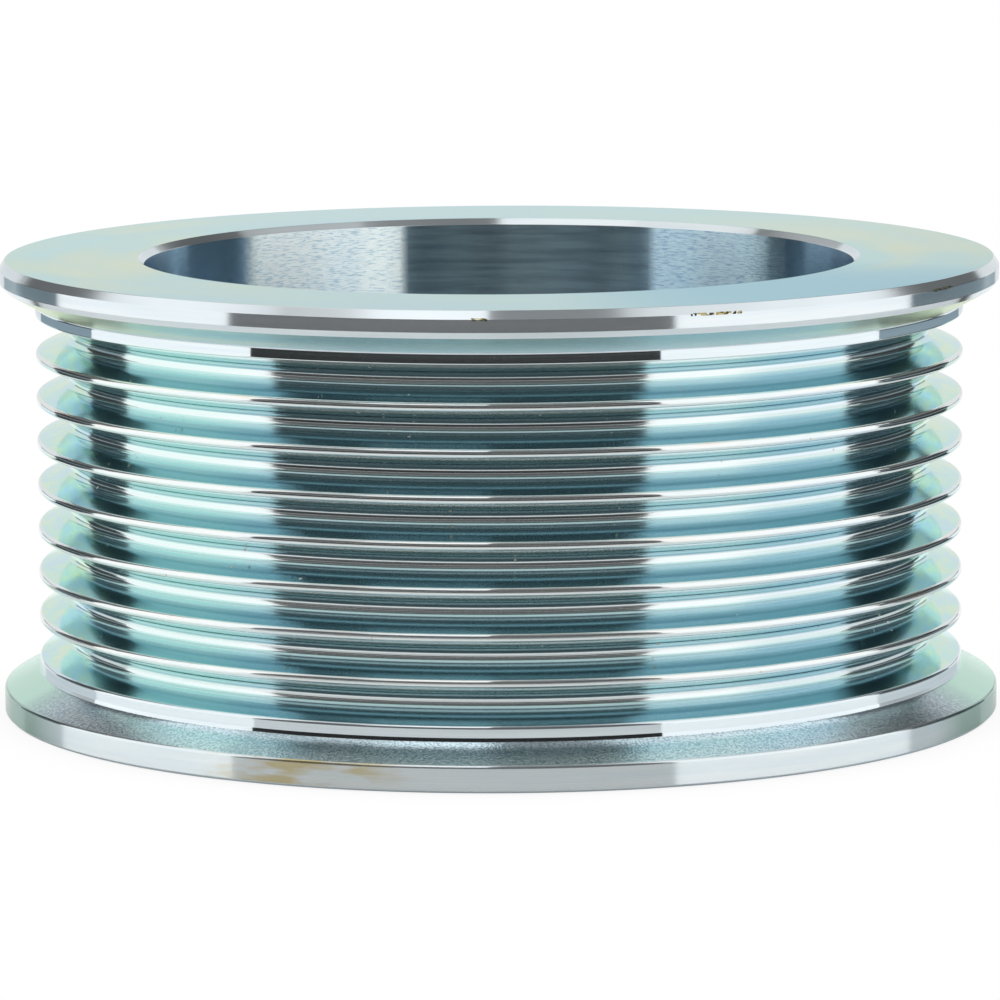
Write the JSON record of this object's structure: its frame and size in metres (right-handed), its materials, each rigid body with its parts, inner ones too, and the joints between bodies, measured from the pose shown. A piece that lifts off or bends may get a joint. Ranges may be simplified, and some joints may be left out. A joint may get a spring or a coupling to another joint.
{
  "type": "ribbed belt pulley",
  "caption": "Flanged pulley ring for a ribbed belt, turned from one piece of zinc plated steel, with V grooves outside and a plain bore right through that seats on a hub.",
  "frame": {"origin": "middle of the bottom face, on the bore's axis", "axes": "+Z along the bore's axis, from the bottom face to the top face"},
  "size_m": [0.0814, 0.0814, 0.037],
  "materials": {
    "zinc_plate": "bright zinc plate over fine turning marks"
  },
  "bodies": {
    "root": {"pulley_ring": "zinc_plate"}
  },
  "joints": []
}
